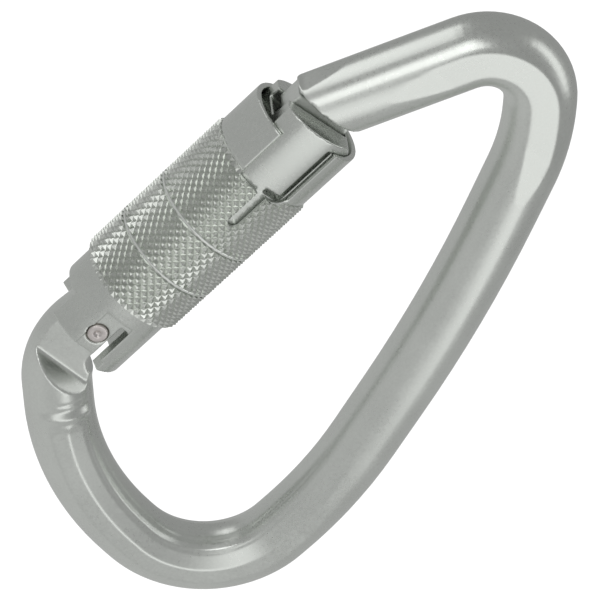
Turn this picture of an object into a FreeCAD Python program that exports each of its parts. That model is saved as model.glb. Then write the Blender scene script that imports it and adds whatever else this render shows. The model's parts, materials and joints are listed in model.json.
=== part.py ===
import FreeCAD, Part
import math
import os

os.makedirs("parts", exist_ok=True)
V = FreeCAD.Vector

# A steel locking carabiner. Sizes are in millimetres. While a piece is modelled, Z runs up the axis
# of the gate and its sleeve, X points to the spine, and Z = 0 is the height of the hinge rivet.
# save() then moves each piece so that the origin is the seat inside the top bend.

# Driving sizes of the bar
bar_d = 12.5
gate_length = 56.2          # hinge height to the shoulder of the nose
basket_width = 57.0         # gate axis to the corner of the wide bend
basket_depth = 34.8         # hinge height down to the corner of the wide bend
top_rise = 35.3             # shoulder of the nose up to the corner of the tight bend
top_reach = 16.5            # gate axis to the corner of the tight bend
bend_r = {"hinge": 14.5, "basket_in": 48.0, "basket_out": 18.0, "spine_low": 90.0,
          "spine_high": 300.0, "crown": 40.0, "top": 9.7}
basket_press = 0.3          # how far each pressed face of the basket stands inside the round
crown_press = 0.5           # the same across the top bend
basket_dip = (0.335, 4.0)   # first corner of the basket: part of its width, height above its end
spine_bend = (11.1, 15.0)   # inward from the basket's corner, down from the shoulder
crown_bend = (15.1, 16.4)   # outward and down from the corner of the tight bend

# Hinge
hinge_x = -1.4              # the rivet stands this far outside the gate axis
rivet_d = 3.3
rivet_head_d = 3.6
rivet_head_h = 0.75
tang_t = 6.0
tang_back_r = 4.7           # round of the tang about the rivet
cam_offset = 2.0            # centre of the cam from the rivet
cam_r = 5.5
tang_base = -11.9           # where the tang's milled faces end
tang_runout = 2.3
tang_run_top = 20.0         # the milled faces are cut up to here, past the bar's end
relief_x = 3.6              # the tang ends here on the spine side, clear of the tongue
relief_foot = -9.9

# Nose
tab_t = 5.5
tab_outer_inset = 0.45      # the key's outer side stands this far inside the bar
tab_inner_inset = 0.85      # its inner side the same
tab_rise = (0.4, 1.2)       # how far its top runs into the nose, outer and inner side
tab_clear_rim = 1.2         # the key ends this far above the sleeve's rim
end_slant = 0.09            # rise of the gate's end face towards the spine, per unit of X
nose_gap = 2.1
nose_x = 0.25               # centre of the bar at the shoulder
facet_slope = 0.35

# Gate
gate_over_bar = 2.6         # the barrel's radius is this much more than the bar's
neck_step = 1.85            # the neck's radius is this much less than the barrel's
top_notch = (2.15, 2.7)     # cut on the outer side of the barrel's top: in from the wall, below the rim
far_notch = (-2.0, 2.1)     # behind the key the outer part of the wall ends this far above the rim
top_chamfer = 3.05          # the end face slopes away this far in from the wall on the spine side
key_slot_below = 1.3        # the slot for the key goes this far below the key
groove_depth = 2.0          # groove in the barrel beside the sleeve's finger
groove_w = 1.1
groove_turn = 6.0
groove_rise = 0.2
groove_end = 1.5
fork_end = -3.4
fork_over_cam = 1.5
neck_notch = (138.0, 232.0) # the fork's arms are cut back between these angles
plunger_d = 5.0
plunger_bore_over = 1.0     # the plunger's bore ends this far inside the barrel
plunger_length = 5.0        # from the top of the fork's slot up
plunger_lift = 0.03         # gap between cam and plunger
spigot_h = 2.0
gate_wire = 0.7             # width of the flat wire
wire_h = 0.7                # its height, the same in both springs
gate_spring_turns = 9

# Collar round the hinge
collar_over_barrel = 0.45
collar_top = 10.0
collar_end = -3.9
tongue_end = -5.8
tongue_half_angle = 68.0
outer_rim = 1.6
outer_notch = (151.0, 232.0) # the collar is open on its outer side between these angles
ear_margin = 0.5            # wall of the ears beside the rivet's head, then the hollow begins
hollow_w = 1.7
cavity_top = 3.4
pad_depth = 0.85            # the flats round the rivet are this far inside the collar's round
pad_top = 4.6
head_sink = 0.2             # the rivet's heads are sunk this far, with the same gap round them
dimple_r = 0.9
dimple_out = 0.5            # centre of the dimple's round outside the head
head_round = 0.3

# Sleeve
sleeve_wall = 1.0
knurl_h = 0.5               # the knurl stands this far out of the smooth part
sleeve_foot = 7.5
knurl_over_window = 1.0     # the knurl ends this far above the window's foot
rim_drop = 4.4              # the sleeve's rim lies this far below the barrel's top
finger_h = 3.3
finger_from = -50.0
window_from = 65.0
window_to = 123.0
window_h = 10.2
window_corner_r = 3.0       # round of the window's corner beside the finger
slot_angle = 91.0
slot_w = 2.0
slot_h = 7.9                # from the slot's foot to the window's foot
slot_over_barrel = 2.6      # the slot ends this far above the barrel's foot
ring_heights = (9.2, 19.0)  # above the sleeve's foot
ring_w = 0.5
ring_depth = 0.35
end_bevel = 0.7
guide_pin_in = 3.35         # how deep the guide pin sits in the barrel
guide_pin_sunk = 0.05       # its end lies this far under the barrel's face
washer_t = 0.8
sleeve_wire = 1.2
sleeve_spring_turns = 6

# Clearances
run_fit = 0.05
slide_fit = 0.1
pin_gap = 0.2
swing_gap = 0.1
key_gap = 0.3
spring_gap = 0.08

# Sizes that follow from the ones above
bar_r = bar_d / 2
tang_h = tang_t / 2
fork_h = tang_h + swing_gap   # half the slot that both the gate and its collar leave for the tang
tab_h = tab_t / 2
tab_outer = tab_outer_inset - bar_r
tab_inner = bar_r - tab_inner_inset
basket_flat = bar_r - basket_press
crown_flat = bar_r - crown_press
barrel_r = bar_r + gate_over_bar
neck_r = barrel_r - neck_step
collar_r = barrel_r + collar_over_barrel
rivet_r = rivet_d / 2
rivet_head_r = rivet_head_d / 2
cavity_x = hinge_x + rivet_head_r + ear_margin
pad_y = collar_r - pad_depth
fork_top = cam_r + fork_over_cam
plunger_top = fork_top + plunger_length
plunger_r = plunger_d / 2
plunger_bore_r = plunger_r + slide_fit
sleeve_bore_r = barrel_r + slide_fit
sleeve_r = sleeve_bore_r + sleeve_wall
knurl_r = sleeve_r + knurl_h
chamber_r = collar_r + slide_fit
barrel_top = gate_length - nose_gap
rim = barrel_top - rim_drop
finger_top = rim + finger_h
window_foot = rim - window_h
knurl_top = window_foot + knurl_over_window
slot_foot = window_foot - slot_h
barrel_foot = slot_foot - slot_over_barrel
plunger_bore_top = barrel_foot + plunger_bore_over
guide_pin_r = slot_w / 2 - pin_gap
key_foot = rim + tab_clear_rim
side = bar_r + 7.75         # half the width of blocks that cut right through the gate
far = 200.0


def block(x0, x1, y0, y1, z0, z1):
    return Part.makeBox(x1 - x0, y1 - y0, z1 - z0, V(x0, y0, z0))


def post(r, z0, z1):
    return Part.makeCylinder(r, z1 - z0, V(0, 0, z0))


def tube(r_in, r_out, z0, z1):
    return post(r_out, z0, z1).cut(post(r_in, z0, z1))


def cross_pin(x, z, r, half):
    return Part.makeCylinder(r, 2 * half, V(x, -half, z), V(0, 1, 0))


def plate(points, half):
    """A flat plate across Y whose outline is given by its (x, z) corners."""
    wire = Part.makePolygon([V(x, -half, z) for x, z in points + points[:1]])
    return Part.Face(wire).extrude(V(0, 2 * half, 0))


def sector(a0, a1, z0, z1):
    """A wedge about Z between two angles, counted from the spine side towards -Y."""
    steps = 4
    angles = [math.radians(a0 + (a1 - a0) * i / steps) for i in range(steps + 1)]
    rim_points = [V(far * math.cos(a), -far * math.sin(a), z0) for a in angles]
    wire = Part.makePolygon([V(0, 0, z0)] + rim_points + [V(0, 0, z0)])
    return Part.Face(wire).extrude(V(0, 0, z1 - z0))


def coil(r, width, height, z0, z1, turns):
    """A helical spring of flat wire that fills the height from z0 to z1."""
    rise = z1 - z0 - height - 2 * spring_gap
    line = Part.makeHelix(rise / turns, rise, r)
    half = height / 2
    corners = [V(r - width / 2, 0, -half), V(r + width / 2, 0, -half),
               V(r + width / 2, 0, half), V(r - width / 2, 0, half)]
    section = Part.makePolygon(corners + corners[:1])
    spring = Part.Wire(line).makePipeShell([section], True, True)
    spring.translate(V(0, 0, z0 + half + spring_gap))
    return spring


def bar_corners():
    shoulder = gate_length
    nose_run = 8.0
    slope = (top_reach - nose_x) / top_rise
    return [
        (0.3, 2.0),
        (-1.1, -11.5),
        (basket_width * basket_dip[0], basket_dip[1] - basket_depth),
        (basket_width, -basket_depth),
        (basket_width, -0.8),
        (basket_width - spine_bend[0], shoulder - spine_bend[1]),
        (top_reach + crown_bend[0], shoulder + top_rise - crown_bend[1]),
        (top_reach, shoulder + top_rise),
        (nose_x - nose_run * slope, shoulder - nose_run),
    ]


def bar_path():
    """Straight runs joined by tangent arcs. Two bends that would overlap on a run share it."""
    corners = [V(x, 0, z) for x, z in bar_corners()]
    runs = [b - a for a, b in zip(corners, corners[1:])]
    reach = []
    for before, after, radius in zip(runs, runs[1:], bend_r.values()):
        reach.append(radius * math.tan(before.getAngle(after) / 2))
    reach = [0.0] + reach + [0.0]
    shares = [min(1.0, run.Length / (reach[i] + reach[i + 1])) for i, run in enumerate(runs)]
    edges = []
    start = corners[0]
    for i in range(1, len(corners) - 1):
        tangent = reach[i] * min(shares[i - 1], shares[i])
        into = V(runs[i - 1]).normalize()
        out = V(runs[i]).normalize()
        first = corners[i] - into * tangent
        last = corners[i] + out * tangent
        half = into.getAngle(out) / 2
        radius = tangent / math.tan(half)
        centre = corners[i] + V(out - into).normalize() * (radius / math.cos(half))
        middle = centre + V(corners[i] - centre).normalize() * radius
        if (first - start).Length > 1e-6:
            edges.append(Part.makeLine(start, first))
        edges.append(Part.Arc(first, middle, last).toShape())
        start = last
    edges.append(Part.makeLine(start, corners[-1]))
    return Part.Wire(edges)


def top_seat():
    """The highest point on the inside of the tight top bend."""
    top_arcs = [e for e in bar_path().Edges if hasattr(e.Curve, "Radius")]
    tight = top_arcs[-1].Curve
    return tight.Center + V(0, 0, tight.Radius - bar_r)


seat = top_seat()


def save(name, shape):
    shape.translate(seat * -1)
    shape.exportStep("parts/" + name + ".step")
    print(name, "solids", len(shape.Solids), "valid", shape.isValid(), "volume", round(shape.Volume, 1))


def pressed_face(x, z, angle, ramp, half):
    """Stock taken off the face at +Y beyond the line through (x, z), ramping down to half."""
    crest = bar_r + 0.3
    profile = [(0, crest), (ramp, half), (far, half), (far, 2 * crest), (0, 2 * crest)]
    wire = Part.makePolygon([V(u, y, -far) for u, y in profile + profile[:1]])
    wedge = Part.Face(wire).extrude(V(0, 0, 2 * far))
    wedge.rotate(V(0, 0, 0), V(0, 1, 0), -angle)
    wedge.translate(V(x, 0, z))
    return wedge


def both_faces(shape):
    return shape.fuse(shape.mirror(V(0, 0, 0), V(0, 1, 0)))


def frame():
    path = bar_path()
    start = bar_corners()[0]
    heading = path.Edges[0].tangentAt(path.Edges[0].FirstParameter)
    section = Part.Wire(Part.makeCircle(bar_r, V(start[0], 0, start[1]), heading))
    bar = path.makePipeShell([section], True, False)

    into_basket = pressed_face(8.5, -20.0, -45, 1.4, basket_flat)
    off_spine = pressed_face(0, 6.0, -90, 16.0, basket_flat)
    bar = bar.cut(both_faces(into_basket.common(off_spine)))
    bar = bar.cut(both_faces(pressed_face(0, gate_length + 4, 90, 14.0, crown_flat)))

    crest = bar_r + 1
    slope = [(tang_base - tang_runout * 1.4, crest), (tang_base, tang_h),
             (tang_run_top, tang_h), (tang_run_top, crest)]
    wire = Part.makePolygon([V(-2 * bar_r, y, z) for z, y in slope + slope[:1]])
    milled = Part.Face(wire).extrude(V(4 * bar_r, 0, 0))
    bar = bar.cut(both_faces(milled))
    back = cross_pin(hinge_x, 0, tang_back_r, tang_h)
    cam = cross_pin(hinge_x + cam_offset, 0, cam_r, tang_h)
    bar = bar.fuse([back, cam])
    relief = [(relief_x, side), (relief_x, relief_foot + 2.4), (relief_x + 0.4, relief_foot + 1.1),
              (relief_x + 2.0, relief_foot), (side, relief_foot), (side, side)]
    bar = bar.cut(plate(relief, crest))
    bar = bar.cut(cross_pin(hinge_x, 0, rivet_r + run_fit, crest))

    below = gate_length - side
    under_nose = [(-side, below), (side, below), (side, gate_length + side * end_slant),
                  (-side, gate_length - side * end_slant)]
    bar = bar.cut(plate(under_nose, crest))
    key = [(tab_outer, key_foot), (tab_inner, key_foot), (tab_inner, gate_length + tab_rise[1]),
           (tab_outer, gate_length + tab_rise[0])]
    bar = bar.fuse(plate(key, tab_h))
    lean = facet_slope
    facet = [(tab_outer - 6 * lean, gate_length - 6), (tab_outer + 9 * lean, gate_length + 9),
             (-side, gate_length + 9), (-side, gate_length - 6)]
    bar = bar.cut(plate(facet, crest).cut(block(-side, side, -crest, crest, below, gate_length)))
    return bar.removeSplitter()


def gate_barrel():
    body = post(barrel_r, barrel_foot, barrel_top + 3).fuse(post(neck_r, fork_end, barrel_foot))
    above = [(-side, barrel_top - side * end_slant), (side, barrel_top + side * end_slant),
             (side, far), (-side, far)]
    body = body.cut(plate(above, side))
    body = body.cut(block(-side, tab_inner + key_gap, -tab_h - key_gap, tab_h + key_gap,
                          key_foot - key_slot_below, far))
    body = body.cut(block(-side, side, -fork_h, fork_h, -far, fork_top))
    body = body.cut(block(cavity_x, side, -side, side, -far, cavity_top))
    body = body.cut(post(plunger_bore_r, fork_top - 1, plunger_bore_top))
    notch = sector(*neck_notch, fork_end - 1, outer_rim)
    body = body.cut([notch, cross_pin(hinge_x, 0, rivet_r, side), guide_pin()])
    body = body.cut(block(-side, top_notch[0] - barrel_r, -side, side, rim - top_notch[1], far))
    body = body.cut(block(-side, far_notch[0], tab_h + key_gap, side, rim + far_notch[1], far))
    chamfer_x = barrel_r - top_chamfer
    chamfer = [(chamfer_x, barrel_top + chamfer_x * end_slant), (side, barrel_top - side / 2),
               (side, far), (chamfer_x, far)]
    body = body.cut(plate(chamfer, side))
    foot = window_foot + groove_rise
    groove = tube(barrel_r - groove_depth, barrel_r + 1, foot, foot + groove_w)
    body = body.cut(groove.common(sector(window_from, slot_angle, window_foot, far)))
    groove = tube(barrel_r - groove_depth, barrel_r + 1, foot, barrel_top - groove_end)
    return body.cut(groove.common(sector(window_from, window_from + groove_turn, window_foot, far)))


def guide_pin():
    start = V(barrel_r - guide_pin_in, 0, slot_foot + slot_w / 2)
    pin = Part.makeCylinder(guide_pin_r, guide_pin_in - guide_pin_sunk, start, V(1, 0, 0))
    pin.rotate(V(0, 0, 0), V(0, 0, 1), -slot_angle)
    return pin


def hinge_collar():
    body = tube(neck_r, collar_r, tongue_end, collar_top)
    ears = sector(tongue_half_angle, 360 - tongue_half_angle, tongue_end, collar_end)
    body = body.cut(ears)
    body = body.cut(sector(*outer_notch, tongue_end, outer_rim))
    body = body.cut(block(-side, 0, -fork_h, fork_h, tongue_end, outer_rim))
    body = body.cut(block(cavity_x, cavity_x + hollow_w, -side, side, tongue_end - 1, cavity_top))
    for y in (-1, 1):
        y0, y1 = sorted((y * pad_y, y * side))
        flat = block(hinge_x - rivet_head_r, cavity_x + hollow_w, y0, y1, tongue_end - 1, pad_top)
        body = body.cut(flat)
        y0 = y * (pad_y - rivet_head_h + head_sink)
        seat_hole = Part.makeCylinder(rivet_head_r + head_sink, side, V(hinge_x, y0, 0), V(0, y, 0))
        body = body.cut(seat_hole)
    return body.cut(cross_pin(hinge_x, 0, rivet_r, side))


def hinge_rivet():
    half = pad_y - rivet_head_h + head_sink
    pin = cross_pin(hinge_x, 0, rivet_r, half)
    for y in (-1, 1):
        head = Part.makeCylinder(rivet_head_r, rivet_head_h, V(hinge_x, y * half, 0), V(0, y, 0))
        rim_edges = [e for e in head.Edges if abs(e.CenterOfMass.y) > half + rivet_head_h - 0.01]
        head = head.makeFillet(head_round, rim_edges[:1])
        dimple = Part.makeSphere(dimple_r, V(hinge_x, y * (half + rivet_head_h + dimple_out), 0))
        pin = pin.fuse(head.cut(dimple))
    return pin


def gate_plunger():
    body = post(plunger_r, cam_r + plunger_lift, plunger_top)
    spigot_r = plunger_r - gate_wire - 2 * slide_fit
    return body.fuse(post(spigot_r, plunger_top, plunger_top + spigot_h))


def gate_spring():
    middle = plunger_r - gate_wire / 2 - slide_fit / 2
    return coil(middle, gate_wire, wire_h, plunger_top, plunger_bore_top, gate_spring_turns)


def thrust_washer():
    return tube(neck_r + slide_fit, chamber_r - slide_fit, barrel_foot - washer_t, barrel_foot)


def sleeve_spring():
    middle = (neck_r + chamber_r) / 2
    return coil(middle, sleeve_wire, wire_h, collar_top, barrel_foot - washer_t, sleeve_spring_turns)


def bevelled_post(r, z0, z1, bevel):
    low = Part.makeCone(r - bevel, r, bevel, V(0, 0, z0))
    high = Part.makeCone(r, r - bevel, bevel, V(0, 0, z1 - bevel))
    return low.fuse([post(r, z0 + bevel, z1 - bevel), high])


def locking_sleeve():
    body = bevelled_post(knurl_r, sleeve_foot, knurl_top, end_bevel)
    body = body.fuse(post(sleeve_r, knurl_top - end_bevel, rim))
    finger = post(sleeve_r, rim, finger_top).common(sector(finger_from, window_from, rim, finger_top))
    body = body.fuse(finger)
    body = body.cut(post(sleeve_bore_r, barrel_foot, far)).cut(post(chamber_r, 0, barrel_foot))
    for height in ring_heights:
        ring = sleeve_foot + height
        body = body.cut(tube(knurl_r - ring_depth, knurl_r + 1, ring, ring + ring_w))
    body = body.cut(sector(window_from, window_to, window_foot, far))
    turn = math.degrees(window_corner_r / sleeve_r)
    corner = tube(sleeve_bore_r, sleeve_r, window_foot - end_bevel, window_foot + window_corner_r)
    corner = corner.common(sector(window_from - 1, window_from + turn, 0, far))
    round_off = Part.makeCylinder(window_corner_r, far, V(0, 0, window_foot + window_corner_r), V(1, 0, 0))
    round_off.rotate(V(0, 0, 0), V(0, 0, 1), -window_from - turn)
    body = body.fuse(corner.cut(round_off))
    slot = block(0, far, -slot_w / 2, slot_w / 2, slot_foot + slot_w / 2, window_foot + 1)
    slot = slot.fuse(Part.makeCylinder(slot_w / 2, far, V(0, 0, slot_foot + slot_w / 2), V(1, 0, 0)))
    slot.rotate(V(0, 0, 0), V(0, 0, 1), -slot_angle)
    return body.cut(slot)


save("frame", frame())
save("gate_barrel", gate_barrel())
save("hinge_collar", hinge_collar())
save("hinge_rivet", hinge_rivet())
save("gate_plunger", gate_plunger())
save("gate_spring", gate_spring())
save("guide_pin", guide_pin())
save("thrust_washer", thrust_washer())
save("sleeve_spring", sleeve_spring())
save("locking_sleeve", locking_sleeve())
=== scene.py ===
# %% [markdown]
# # A locking carabiner in plated steel
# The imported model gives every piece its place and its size. This lesson puts the real surfaces on it:
# softened machined edges, a cut diamond knurl, pressed marks on the forged bar, and a satin plating.
# Everything is in metres, in the frame of the model: Z runs up the gate, X points to the spine.

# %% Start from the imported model
import json
import math

import bmesh
import bpy
import numpy as np
from mathutils import Matrix, Vector


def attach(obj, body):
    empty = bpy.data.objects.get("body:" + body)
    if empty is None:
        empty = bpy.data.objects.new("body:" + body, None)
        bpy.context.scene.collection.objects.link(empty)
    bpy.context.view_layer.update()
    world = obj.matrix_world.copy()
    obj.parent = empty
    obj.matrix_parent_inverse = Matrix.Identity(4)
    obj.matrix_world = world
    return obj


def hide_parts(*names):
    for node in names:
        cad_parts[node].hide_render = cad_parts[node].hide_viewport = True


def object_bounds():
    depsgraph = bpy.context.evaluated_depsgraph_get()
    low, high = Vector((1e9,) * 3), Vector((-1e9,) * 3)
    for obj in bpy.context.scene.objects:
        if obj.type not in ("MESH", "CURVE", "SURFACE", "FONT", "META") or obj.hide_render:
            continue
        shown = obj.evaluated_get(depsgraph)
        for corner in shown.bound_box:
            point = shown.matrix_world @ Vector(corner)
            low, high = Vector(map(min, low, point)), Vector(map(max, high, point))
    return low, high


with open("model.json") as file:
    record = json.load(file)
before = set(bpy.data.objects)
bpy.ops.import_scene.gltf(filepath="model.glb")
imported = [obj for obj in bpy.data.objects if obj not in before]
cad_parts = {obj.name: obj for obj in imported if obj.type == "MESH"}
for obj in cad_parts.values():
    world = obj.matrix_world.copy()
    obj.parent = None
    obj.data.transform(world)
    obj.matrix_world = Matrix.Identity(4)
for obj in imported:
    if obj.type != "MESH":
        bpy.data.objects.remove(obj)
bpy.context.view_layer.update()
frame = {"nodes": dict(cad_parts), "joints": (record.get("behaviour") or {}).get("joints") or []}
MM = 0.001
print("nodes", sorted(frame["nodes"]))

# %% [markdown]
# ## The gate's own axis
# The gate turns on its hinge, and the sleeve turns about the gate. All the gate's pieces are turned
# parts, so their details are easiest to give as a radius, an angle and a height along that axis.
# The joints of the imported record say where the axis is, so nothing has to be measured again.

# %% Axis of the gate and height of the hinge
hinge = next(j for j in frame["joints"] if j["name"] == "gate_swing")
twist = next(j for j in frame["joints"] if j["name"] == "sleeve_twist")
axis_x = twist["pos_m"][0]
hinge_z = hinge["pos_m"][2]
print("gate axis at x", round(axis_x / MM, 3), "mm, hinge at z", round(hinge_z / MM, 3), "mm")


def above_hinge(height_mm):
    """Z of a height counted in millimetres from the hinge."""
    return hinge_z + height_mm * MM


def link(name, mesh):
    """An object for a mesh, in the scene."""
    made = bpy.data.objects.new(name, mesh)
    bpy.context.scene.collection.objects.link(made)
    return made


def coordinates(mesh):
    co = np.empty(len(mesh.vertices) * 3)
    mesh.vertices.foreach_get("co", co)
    return co.reshape(-1, 3)


def set_coordinates(mesh, co):
    mesh.vertices.foreach_set("co", co.ravel())
    mesh.update()


def smooth_shade(mesh):
    mesh.polygons.foreach_set("use_smooth", [True] * len(mesh.polygons))


# %% [markdown]
# ## Softened edges
# Tumbling and plating round every machined edge by a few tenths of a millimetre. A bevel on each edge
# would need a clean mesh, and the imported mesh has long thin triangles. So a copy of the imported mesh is
# rebuilt on a fine even grid with the Remesh modifier, and a few rounds of Smooth take the sharpness
# off its edges. The rebuilt mesh also has enough points to push marks into its surface.

# %% A helper that rebuilds a node with soft edges
def softened(node, name, grid, rounds):
    piece = link(name, frame["nodes"][node].data.copy())
    piece.data.materials.clear()
    remesh = piece.modifiers.new("even_grid", "REMESH")
    remesh.mode = "VOXEL"
    remesh.voxel_size = grid
    smooth = piece.modifiers.new("tumbled_edges", "SMOOTH")
    smooth.iterations = rounds
    smooth.factor = 0.5
    seen = piece.evaluated_get(bpy.context.evaluated_depsgraph_get())
    mesh = bpy.data.meshes.new_from_object(seen)
    piece.modifiers.clear()
    piece.data = mesh
    smooth_shade(mesh)
    print(name, len(mesh.polygons), "faces")
    return piece


# %% [markdown]
# ## The line of the bar
# The bar is one round rod bent to a pear shape. Its marks lie along it, so each point of its surface
# needs two numbers: how far along the bar it is, and where it stands round the bar. The line is made
# of straight runs joined by arcs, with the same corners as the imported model. A table of points along
# that line is enough to find both numbers with a nearest-point search.

# %% Corners and bends of the bar, in millimetres from the gate axis and the hinge
CORNERS = [(0.3, 2.0), (-1.1, -11.5), (19.095, -30.8), (57.0, -34.8), (57.0, -0.8), (45.9, 41.2),
           (31.6, 75.1), (16.5, 91.5), (-3.433, 48.2)]
BENDS = [14.5, 48.0, 18.0, 90.0, 300.0, 40.0, 9.7]
BAR_R = 6.25


def bar_line(step):
    """Points along the middle of the bar about a step apart, and the direction at each."""
    corner = [np.array(c, float) for c in CORNERS]
    run = [b - a for a, b in zip(corner, corner[1:])]
    long = [np.linalg.norm(r) for r in run]
    way = [r / n for r, n in zip(run, long)]
    turn = [math.acos(float(a @ b)) for a, b in zip(way, way[1:])]
    reach = [0.0] + [r * math.tan(t / 2) for r, t in zip(BENDS, turn)] + [0.0]
    share = [min(1.0, n / (a + b)) for n, a, b in zip(long, reach, reach[1:])]
    points = [corner[0]]
    for i in range(1, len(corner) - 1):
        tangent = reach[i] * min(share[i - 1], share[i])
        first = corner[i] - way[i - 1] * tangent
        last = corner[i] + way[i] * tangent
        radius = tangent / math.tan(turn[i - 1] / 2)
        bisector = way[i] - way[i - 1]
        bisector /= np.linalg.norm(bisector)
        centre = corner[i] + bisector * radius / math.cos(turn[i - 1] / 2)
        gap = np.linalg.norm(first - points[-1])
        shares = np.linspace(0, 1, max(2, int(gap / step)))[1:]
        points += [points[-1] + (first - points[-1]) * k for k in shares]
        count = max(3, int(radius * turn[i - 1] / step))
        for k in np.linspace(0, 1, count)[1:]:
            from_first = math.sin((1 - k) * turn[i - 1]) * (first - centre)
            side = from_first + math.sin(k * turn[i - 1]) * (last - centre)
            points.append(centre + side / math.sin(turn[i - 1]))
    gap = np.linalg.norm(corner[-1] - points[-1])
    shares = np.linspace(0, 1, int(gap / step))[1:]
    points += [points[-1] + (corner[-1] - points[-1]) * k for k in shares]
    points = np.array(points)
    ahead = np.gradient(points, axis=0)
    ahead /= np.linalg.norm(ahead, axis=1)[:, None]
    along = np.concatenate([[0], np.cumsum(np.linalg.norm(np.diff(points, axis=0), axis=1))])
    return points, ahead, along


LINE_STEP = 0.25
line, line_way, line_run = bar_line(LINE_STEP)
print("the bar is", round(float(line_run[-1]), 1), "mm long")


def on_the_bar(co):
    """Run along the bar, its direction, and the distance inward, sideways and from the middle, in mm."""
    flat = np.column_stack([(co[:, 0] - axis_x) / MM, (co[:, 2] - hinge_z) / MM])
    nearest = np.empty(len(flat), int)
    for k in range(0, len(flat), 20000):
        block = flat[k:k + 20000]
        gap = ((block[:, None, :] - line[None, ::4, :]) ** 2).sum(2)
        nearest[k:k + 20000] = gap.argmin(1) * 4
    for _ in range(2):
        ahead_by = ((flat - line[nearest]) * line_way[nearest]).sum(1)
        nearest = np.clip(nearest + np.round(ahead_by / LINE_STEP).astype(int), 0, len(line) - 1)
    way = line_way[nearest]
    inward = np.column_stack([-way[:, 1], way[:, 0]])
    from_line = flat - line[nearest]
    run = line_run[nearest] + (from_line * way).sum(1)
    return run, way, (from_line * inward).sum(1), co[:, 1] / MM


def run_at(x_mm, z_mm):
    """How far along the bar its middle passes nearest to a place in the frame's plane."""
    return float(line_run[((line - np.array([x_mm, z_mm])) ** 2).sum(1).argmin()])


def bump_of(value, middle, width):
    """A smooth hill of height 1 about a middle."""
    return np.exp(-((value - middle) / width) ** 2)


def ease(value, low, high):
    """0 below low, 1 above high, and a smooth rise between them."""
    t = np.clip((value - low) / (high - low), 0, 1)
    return t * t * (3 - 2 * t)


# %% [markdown]
# ## The forged bar
# The bar is pressed in a die after bending. The die leaves a narrow flat on each side of the wide
# bend, a low ridge across the bar where the flat begins, short marks above it, and a crease along the
# inner side. Each mark is a small move of the surface points towards the middle of the bar or away
# from it, given by the run along the bar and the angle round it. The flat is the lower of the round
# surface and a plane, blended so that its edges stay crisp but not razor sharp.

# %% Marks of the die
FLAT_FROM = run_at(8.2, -20.5)
FLAT_FADES = run_at(56.0, -8.0)
FLAT_ENDS = run_at(53.0, 14.0)
FLAT_TURN = math.radians(24)
FLAT_DEPTH = 0.34
print("the pressed flat runs from", round(FLAT_FROM, 1), "to", round(FLAT_ENDS, 1), "mm along the bar")


def lower_of(a, b, blend):
    """The smaller of two values, with the corner between them rounded over a blend."""
    t = np.clip(0.5 + 0.5 * (b - a) / blend, 0, 1)
    return b * (1 - t) + a * t - blend * t * (1 - t)


def press_marks(mesh):
    co = coordinates(mesh)
    run, way, inward, side = on_the_bar(co)
    radius = np.hypot(inward, side)
    turn = np.arctan2(inward, np.abs(side))
    deep = ease(run, FLAT_FROM, FLAT_FROM + 2.5) * (1 - ease(run, FLAT_FADES, FLAT_ENDS))
    plane = (BAR_R + 0.03 - (FLAT_DEPTH + 0.03) * deep) / np.clip(np.cos(turn - FLAT_TURN), 0.3, 1)
    marked = (run > 15) & (run < FLAT_ENDS + 5) & (radius > 4)
    new = np.where(marked, lower_of(radius, plane, 0.05), radius)
    arc = BAR_R * (turn - FLAT_TURN)
    on_face = ease(turn, math.radians(-48), math.radians(-30))
    on_face = on_face * (1 - ease(turn, math.radians(52), math.radians(66)))
    rim = bump_of(arc, 2.05, 0.3) * deep
    new += np.where(marked, -0.09 * rim + 0.05 * bump_of(arc, 2.6, 0.35) * deep, 0)
    ridge = bump_of(run, FLAT_FROM - 1.3, 0.75)
    new += np.where(marked, (0.30 * ridge - 0.16 * bump_of(run, FLAT_FROM - 3.0, 0.6)) * on_face, 0)
    short = ease(turn, math.radians(-8), math.radians(4))
    short = short * (1 - ease(turn, math.radians(38), math.radians(50)))
    new += np.where(marked, -0.12 * bump_of(run, FLAT_FROM - 4.3, 0.4) * short, 0)
    crease = bump_of(BAR_R * (turn - math.radians(64)), 0, 0.55)
    crease = crease * ease(run, 15, 19) * (1 - ease(run, FLAT_FADES, FLAT_ENDS))
    new += np.where(marked, -0.10 * crease, 0)
    share = np.where(radius > 1e-6, new / np.maximum(radius, 1e-6), 1)
    shift = (share - 1) * inward
    inside = np.column_stack([-way[:, 1], way[:, 0]])
    co[:, 0] += shift * inside[:, 0] * MM
    co[:, 2] += shift * inside[:, 1] * MM
    co[:, 1] *= share
    set_coordinates(mesh, co)
    return int(marked.sum())


bar = softened("frame", "bar", 0.28 * MM, 4)
print("points marked by the die", press_marks(bar.data))
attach(bar, "frame")
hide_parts("frame")

# %% [markdown]
# ## The gate, its collar and the rivet
# The barrel, the collar and the rivet are machined, so a finer grid keeps their edges tighter than
# those of the forged bar. The rivet is the smallest and gets the finest grid, because the dimple in
# its head has to stay clear.

# %% Machined pieces of the gate
MACHINED = {"gate_barrel": ("barrel", 0.2, 2, "gate_steel"),
            "hinge_collar": ("collar", 0.17, 3, "gate_steel"),
            "hinge_rivet": ("rivet", 0.11, 2, "rivet_steel")}
machined = {}
for node, (name, grid, rounds, slot_name) in MACHINED.items():
    piece = softened(node, name, grid * MM, rounds)
    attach(piece, "gate")
    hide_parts(node)
    machined[name] = piece

# %% [markdown]
# ## The sleeve's shell
# The sleeve is one turned tube. Its lower part carries the knurl and its upper part is smooth, with a
# window, a finger and a slot. The shell keeps the whole tube, and where the knurl goes it is turned
# down to just below the bottom of the knurl's grooves.

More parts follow.
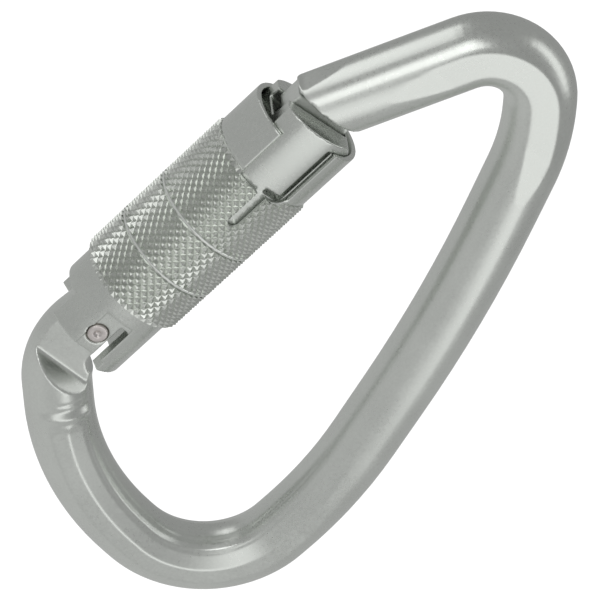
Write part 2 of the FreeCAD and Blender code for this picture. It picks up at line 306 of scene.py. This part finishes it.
# %% Shell with the knurl's seat turned down
KNURL_FOOT = 7.5
KNURL_TOP = 40.5
KNURL_TIP = 10.45
KNURL_ROOT = 9.84
SEAT_R = 9.78
shell = softened("locking_sleeve", "sleeve_shell", 0.2 * MM, 6)
co = coordinates(shell.data)
out = np.hypot(co[:, 0] - axis_x, co[:, 1]) / MM
height = (co[:, 2] - hinge_z) / MM
turned = (height < KNURL_TOP + 0.4) & (out > SEAT_R)
scale = np.where(turned, SEAT_R / np.maximum(out, 1e-6), 1)
co[:, 0] = axis_x + (co[:, 0] - axis_x) * scale
co[:, 1] *= scale
set_coordinates(shell.data, co)
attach(shell, "sleeve")
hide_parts("locking_sleeve")

# %% [markdown]
# ## The diamond knurl
# A knurling tool rolls two sets of grooves at 45 degrees to the axis, one each way, and leaves small
# four-sided pyramids between them. The places where grooves cross and the pyramids' tips lie on one
# even lattice, and they alternate on it like the squares of a chessboard. So the exact surface needs
# only a few faces for each pyramid: four sides and a small worn flat on top. Two thin rings turned
# into the sleeve split the knurl in three bands.

# %% One band of knurling as a closed ring
AROUND = 40
WORN = 0.1


def knurled_band(name, low, high, low_bevel, high_bevel):
    steps = 2 * max(1, round((high - low) / (2 * math.pi * KNURL_TIP / AROUND)))
    columns = 2 * AROUND
    verts, faces = [], []

    def radius_at(z, r):
        limit = KNURL_TIP
        if low_bevel:
            limit = min(limit, KNURL_TIP - low_bevel + (z - low))
        if high_bevel:
            limit = min(limit, KNURL_TIP - high_bevel + (high - z))
        return max(SEAT_R - 0.3, min(r, limit))

    def point(i, j, r):
        angle = 2 * math.pi * i / columns
        z = low + (high - low) * j / steps
        r = radius_at(z, r)
        verts.append((axis_x + r * MM * math.cos(angle), -r * MM * math.sin(angle), above_hinge(z)))
        return len(verts) - 1

    root = {}
    for j in range(steps + 1):
        for i in range(columns):
            if (i + j) % 2 == 0:
                root[i, j] = point(i, j, KNURL_ROOT)
    rims = {0: [], steps: []}
    for j in range(steps + 1):
        for i in range(columns):
            if (i + j) % 2 == 0:
                if j in rims:
                    rims[j].append(root[i, j])
                continue
            corner = [(i + 1, j), (i, j + 1), (i - 1, j), (i, j - 1)]
            keep = [k for k in range(4) if 0 <= corner[k][1] <= steps]
            top = {}
            for k in keep:
                toward_i, toward_j = WORN * (corner[k][0] - i), WORN * (corner[k][1] - j)
                top[k] = point(i + toward_i, j + toward_j, KNURL_TIP)
            if len(keep) == 4:
                faces.append([top[k] for k in (3, 2, 1, 0)])
            else:
                faces.append([top[k] for k in sorted(keep, reverse=True)])
            for k in keep:
                n = (k + 1) % 4
                if n in keep:
                    a = root[corner[k][0] % columns, corner[k][1]]
                    b = root[corner[n][0] % columns, corner[n][1]]
                    faces.append([a, top[k], top[n], b])
            if j in rims:
                rims[j] += [top[2], top[0]]
    inner = {}
    for j, rim in rims.items():
        inner[j] = []
        for v in rim:
            x, y, z = verts[v]
            share = (SEAT_R - 0.35) * MM / math.hypot(x - axis_x, y)
            verts.append((axis_x + (x - axis_x) * share, y * share, z))
            inner[j].append(len(verts) - 1)
        count = len(rim)
        for k in range(count):
            n = (k + 1) % count
            wall = [rim[k], rim[n], inner[j][n], inner[j][k]]
            faces.append(wall if j == 0 else wall[::-1])
    count = len(inner[0])
    for k in range(count):
        n = (k + 1) % count
        faces.append([inner[0][k], inner[0][n], inner[steps][n], inner[steps][k]])
    mesh = bpy.data.meshes.new(name)
    mesh.from_pydata(verts, [], faces)
    mesh.validate()
    return link(name, mesh)


# %% Three bands, cut by the window and the slot
RINGS = (16.7, 26.5)
RING_W = 0.5
RING_GAP = 0.35
SLOT_ANGLE = 91.0
SLOT_W = 2.0
SLOT_FOOT = 31.6
WINDOW = (65.0, 123.0, 39.5)
FAR = 14.0


def prism(name, outline, low, high):
    """A closed prism: an outline in the plane across the gate's axis, between two heights, in mm."""
    count = len(outline)
    verts = [(axis_x + x * MM, y * MM, above_hinge(z)) for z in (low, high) for x, y in outline]
    faces = [list(range(count))[::-1], list(range(count, 2 * count))]
    faces += [[k, (k + 1) % count, count + (k + 1) % count, count + k] for k in range(count)]
    mesh = bpy.data.meshes.new(name)
    mesh.from_pydata(verts, [], faces)
    return link(name, mesh)


def slot_cutter():
    """A round-ended slot cut straight through the wall."""
    across = [(-SLOT_W / 2, 50.0), (-SLOT_W / 2, SLOT_FOOT + SLOT_W / 2)]
    for k in range(1, 12):
        t = math.pi * k / 12
        across.append((-SLOT_W / 2 * math.cos(t), SLOT_FOOT + SLOT_W / 2 - SLOT_W / 2 * math.sin(t)))
    across += [(SLOT_W / 2, SLOT_FOOT + SLOT_W / 2), (SLOT_W / 2, 50.0)]
    a = math.radians(SLOT_ANGLE)
    out_way, side_way = Vector((math.cos(a), -math.sin(a), 0)), Vector((math.sin(a), math.cos(a), 0))
    verts = []
    for reach in (6.0, FAR):
        for s_mm, z in across:
            p = out_way * reach * MM + side_way * s_mm * MM
            verts.append((axis_x + p.x, p.y, above_hinge(z)))
    count = len(across)
    faces = [list(range(count)), list(range(count, 2 * count))[::-1]]
    faces += [[k, count + k, count + (k + 1) % count, (k + 1) % count] for k in range(count)]
    mesh = bpy.data.meshes.new("slot_cutter")
    mesh.from_pydata(verts, [], faces)
    return link("slot_cutter", mesh)


def face_outward(mesh):
    solid = bmesh.new()
    solid.from_mesh(mesh)
    bmesh.ops.recalc_face_normals(solid, faces=solid.faces)
    solid.to_mesh(mesh)
    solid.free()


def cut(piece, cutters):
    face_outward(piece.data)
    for cutter in cutters:
        face_outward(cutter.data)
        boolean = piece.modifiers.new("cut", "BOOLEAN")
        boolean.operation = "DIFFERENCE"
        boolean.solver = "EXACT"
        boolean.object = cutter
    bpy.context.view_layer.update()
    mesh = bpy.data.meshes.new_from_object(piece.evaluated_get(bpy.context.evaluated_depsgraph_get()))
    piece.modifiers.clear()
    piece.data = mesh
    for cutter in cutters:
        bpy.data.objects.remove(cutter)


bands = [knurled_band("knurl_low", KNURL_FOOT, RINGS[0] - RING_GAP, 0.5, 0),
         knurled_band("knurl_middle", RINGS[0] + RING_W, RINGS[1] - RING_GAP, 0, 0),
         knurled_band("knurl_high", RINGS[1] + RING_W, KNURL_TOP, 0, 0.5)]
fan = [(0, 0)] + [(FAR * math.cos(math.radians(a)), -FAR * math.sin(math.radians(a)))
                  for a in np.linspace(WINDOW[1], WINDOW[0], 6)]
cut(bands[2], [prism("window_cutter", fan, WINDOW[2], 60.0), slot_cutter()])
for band in bands:
    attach(band, "sleeve")
    print(band.name, len(band.data.polygons), "faces")

# %% [markdown]
# ## The turned rings
# A narrow tool turns each ring into the knurl. It leaves a smooth line, nearly as high as the
# knurl's tips, with a narrow dark recess beside it; the line's brighter tint is a painted highlight.
# The bands already leave a gap for both, so one short closed ring in the upper part of each gap is
# all it takes.

# %% The two ring lines
RING_R = 10.4
RING_SIDES = 160
RING_ROUND = 0.08
RING_INNER_R = SEAT_R - 0.3


def turned_ring(name, low, high, inner_r, outer_r):
    outline = [(inner_r, low), (outer_r - RING_ROUND, low), (outer_r, low + RING_ROUND),
               (outer_r, high - RING_ROUND), (outer_r - RING_ROUND, high), (inner_r, high)]
    count = len(outline)
    verts, faces = [], []
    for i in range(RING_SIDES):
        angle = 2 * math.pi * i / RING_SIDES
        for r, z in outline:
            verts.append((axis_x + r * MM * math.cos(angle), -r * MM * math.sin(angle), above_hinge(z)))
        n = (i + 1) % RING_SIDES
        for k in range(count):
            m = (k + 1) % count
            faces.append([i * count + k, i * count + m, n * count + m, n * count + k])
    mesh = bpy.data.meshes.new(name)
    mesh.from_pydata(verts, [], faces)
    face_outward(mesh)
    return link(name, mesh)


for name, ring in zip(("ring_low", "ring_high"), RINGS):
    made = turned_ring(name, ring + 0.05, ring + RING_W + 0.02, RING_INNER_R, RING_R)
    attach(made, "sleeve")
    print(name, len(made.data.polygons), "faces")

# %% [markdown]
# ## Satin plating
# Zinc-nickel plating is a bright grey with a slight green cast, fine-grained like frosted metal. Two
# noises make it: a fine one for the grain, and a slow one for the uneven tone of tumbled steel. They
# are in one node group, so each material sets its own tint, grain and roughness.

# %% The plating group
def plating_group():
    group = bpy.data.node_groups.new("satin_plating", "ShaderNodeTree")
    face = group.interface
    for name, kind, value in (("Tint", "NodeSocketColor", (0.7, 0.72, 0.69, 1)),
                              ("Grain", "NodeSocketFloat", 0.1), ("Cloud", "NodeSocketFloat", 0.1),
                              ("Roughness", "NodeSocketFloat", 0.3)):
        face.new_socket(name, in_out="INPUT", socket_type=kind).default_value = value
    face.new_socket("Color", in_out="OUTPUT", socket_type="NodeSocketColor")
    face.new_socket("Roughness", in_out="OUTPUT", socket_type="NodeSocketFloat")
    face.new_socket("Height", in_out="OUTPUT", socket_type="NodeSocketFloat")
    nodes, wire = group.nodes, group.links.new
    inp, out = nodes.new("NodeGroupInput"), nodes.new("NodeGroupOutput")
    place = nodes.new("ShaderNodeTexCoord")

    def noise(scale, detail):
        made = nodes.new("ShaderNodeTexNoise")
        made.inputs["Scale"].default_value = scale
        made.inputs["Detail"].default_value = detail
        wire(place.outputs["Object"], made.inputs["Vector"])
        return made.outputs[0]

    def calc(kind, a, b, c=None):
        made = nodes.new("ShaderNodeMath")
        made.operation = kind
        for socket, value in zip(made.inputs, (a, b, c)):
            if isinstance(value, bpy.types.NodeSocket):
                wire(value, socket)
            elif value is not None:
                socket.default_value = value
        return made.outputs[0]

    grain = noise(1900, 3)
    coarse = noise(420, 2)
    cloud = noise(70, 2)
    centred = calc("SUBTRACT", grain, 0.5)
    slow = calc("SUBTRACT", cloud, 0.5)
    light = calc("MULTIPLY_ADD", centred, inp.outputs["Grain"], 1.0)
    light = calc("MULTIPLY_ADD", slow, inp.outputs["Cloud"], light)
    tinted = nodes.new("ShaderNodeVectorMath")
    tinted.operation = "SCALE"
    wire(inp.outputs["Tint"], tinted.inputs[0])
    wire(light, tinted.inputs["Scale"])
    wire(tinted.outputs[0], out.inputs["Color"])
    rough = calc("MULTIPLY_ADD", slow, 0.12, inp.outputs["Roughness"])
    rough = calc("MULTIPLY_ADD", centred, 0.15, rough)
    wire(rough, out.inputs["Roughness"])
    wire(calc("MULTIPLY_ADD", coarse, 0.6, grain), out.inputs["Height"])
    return group


PLATING = plating_group()


# %% A material for each finish
def plated(name, tint, roughness, grain=0.16, cloud=0.2, relief=0.2):
    material = bpy.data.materials.new(name)
    material.use_nodes = True
    nodes, wire = material.node_tree.nodes, material.node_tree.links.new
    shader = nodes["Principled BSDF"]
    shader.inputs["Metallic"].default_value = 1
    group = nodes.new("ShaderNodeGroup")
    group.node_tree = PLATING
    group.inputs["Tint"].default_value = (*tint, 1)
    group.inputs["Grain"].default_value = grain
    group.inputs["Cloud"].default_value = cloud
    group.inputs["Roughness"].default_value = roughness
    wire(group.outputs["Color"], shader.inputs["Base Color"])
    wire(group.outputs["Roughness"], shader.inputs["Roughness"])
    bump = nodes.new("ShaderNodeBump")
    bump.inputs["Strength"].default_value = relief
    bump.inputs["Distance"].default_value = 0.02 * MM
    wire(group.outputs["Height"], bump.inputs["Height"])
    wire(bump.outputs["Normal"], shader.inputs["Normal"])
    return material


forged = plated("forged_plated_steel", (0.70, 0.725, 0.69), 0.30)
turned_steel = plated("turned_plated_steel", (0.66, 0.685, 0.65), 0.27, cloud=0.15)
knurled = plated("knurled_plated_steel", (0.68, 0.705, 0.665), 0.22, cloud=0.2)
riveted = plated("rivet_steel_finish", (0.66, 0.62, 0.60), 0.33, grain=0.35)
# The rings' lighter tint is a painted highlight: the same plated steel, made brighter for the line they
# catch.
ring_painted_highlight = plated("turned_ring_painted_highlight", (0.86, 0.89, 0.85), 0.22)
# A dark grey for the inner parts: partly dark oiled spring steel, partly painted shade for their place
# deep inside the gate.
dark_steel_and_painted_shade = plated("inner_dark_steel_and_painted_shade", (0.36, 0.36, 0.36), 0.35)
FINISH = {"bar": forged, "barrel": turned_steel, "collar": turned_steel, "rivet": riveted,
          "sleeve_shell": turned_steel, "knurl_low": knurled, "knurl_middle": knurled,
          "knurl_high": knurled,
          "ring_low": ring_painted_highlight, "ring_high": ring_painted_highlight}
for name, material in FINISH.items():
    mesh = bpy.data.objects[name].data
    mesh.materials.clear()
    mesh.materials.append(material)
# The other imported pieces still shown are the inner parts; they get the dark grey with its painted shade,
# and the guide pin gets the rivet's finish.
for name, node in frame["nodes"].items():
    if not node.hide_render:
        node.data.materials.clear()
        node.data.materials.append(riveted if name == "guide_pin" else dark_steel_and_painted_shade)
print("finishes given to", len(FINISH), "pieces")

# %% [markdown]
# ## Camera
# A long lens from the front and a little above keeps the lines of the gate nearly parallel. The camera
# is rolled, so that the gate runs from the lower left to the upper right.

# %% Camera
camera = bpy.data.objects.new("camera", bpy.data.cameras.new("camera"))
bpy.context.scene.collection.objects.link(camera)
ahead = Vector((0.437, 0.822, -0.365)).normalized()
right = Vector((0.717, -0.073, 0.694))
right = (right - ahead * right.dot(ahead)).normalized()
up = right.cross(ahead)
place = Vector((-0.2440, -0.4689, 0.1548))
camera.matrix_world = Matrix.Translation(place) @ Matrix((right, up, -ahead)).transposed().to_4x4()
camera.data.lens = 195.9
camera.data.sensor_width = 36
camera.data.clip_start = 0.01
bpy.context.scene.camera = camera

# %% [markdown]
# ## Studio
# Metal shows its surroundings, so the light is a set of large soft panels round the object and a dim
# even room, which shows between them and draws the darker bands along the bar.

# %% Floor, room and lamps
low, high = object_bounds()
middle = (low + high) / 2
FLOOR_HALF = 6.0
FLOOR_BELOW = 0.5
floor_z = low.z - FLOOR_BELOW
floor_mesh = bpy.data.meshes.new("floor")
SQUARE = ((-1, -1), (1, -1), (1, 1), (-1, 1))
floor_corners = [(x * FLOOR_HALF, y * FLOOR_HALF, floor_z) for x, y in SQUARE]
floor_mesh.from_pydata(floor_corners, [], [(0, 1, 2, 3)])
floor = link("floor", floor_mesh)
pale = bpy.data.materials.new("pale_floor")
pale.use_nodes = True
shade = pale.node_tree.nodes["Principled BSDF"]
shade.inputs["Base Color"].default_value = (0.85, 0.85, 0.85, 1)
shade.inputs["Roughness"].default_value = 0.8
shade.inputs["Emission Color"].default_value = (1, 1, 1, 1)
rays = pale.node_tree.nodes.new("ShaderNodeLightPath")
glow = pale.node_tree.nodes.new("ShaderNodeMapRange")
glow.inputs["To Min"].default_value = 0.16
glow.inputs["To Max"].default_value = 0.8
pale.node_tree.links.new(rays.outputs["Is Camera Ray"], glow.inputs["Value"])
pale.node_tree.links.new(glow.outputs["Result"], shade.inputs["Emission Strength"])
floor_mesh.materials.append(pale)

world = bpy.data.worlds.new("room")
bpy.context.scene.world = world
world.use_nodes = True
world.node_tree.nodes["Background"].inputs["Color"].default_value = (1, 1, 1, 1)
world.node_tree.nodes["Background"].inputs["Strength"].default_value = 0.36


def panel(name, sideways, upward, back, wide, tall, glow):
    """A soft panel placed from the object's middle, in the camera's own directions, in metres."""
    lamp = bpy.data.objects.new(name, bpy.data.lights.new(name, "AREA"))
    bpy.context.scene.collection.objects.link(lamp)
    lamp.data.shape = "RECTANGLE"
    lamp.data.size, lamp.data.size_y = wide, tall
    lamp.data.energy = glow * math.pi * wide * tall
    spot = middle + right * sideways + up * upward - ahead * back
    facing = (spot - middle).to_track_quat("Z", "Y").to_matrix().to_4x4()
    lamp.matrix_world = Matrix.Translation(spot) @ facing
    lamp.visible_camera = False
    return lamp


panel("low_panel", 0.08, -0.47, 0.40, 0.95, 0.26, 0.7)
panel("front_panel", -0.10, 0.12, 0.70, 0.35, 0.35, 1.5)
panel("high_panel", -0.30, 0.55, 0.20, 0.55, 0.25, 0.9)
panel("side_panel", 0.60, 0.10, 0.10, 0.25, 0.60, 0.8)
bpy.context.scene.view_settings.view_transform = "Standard"
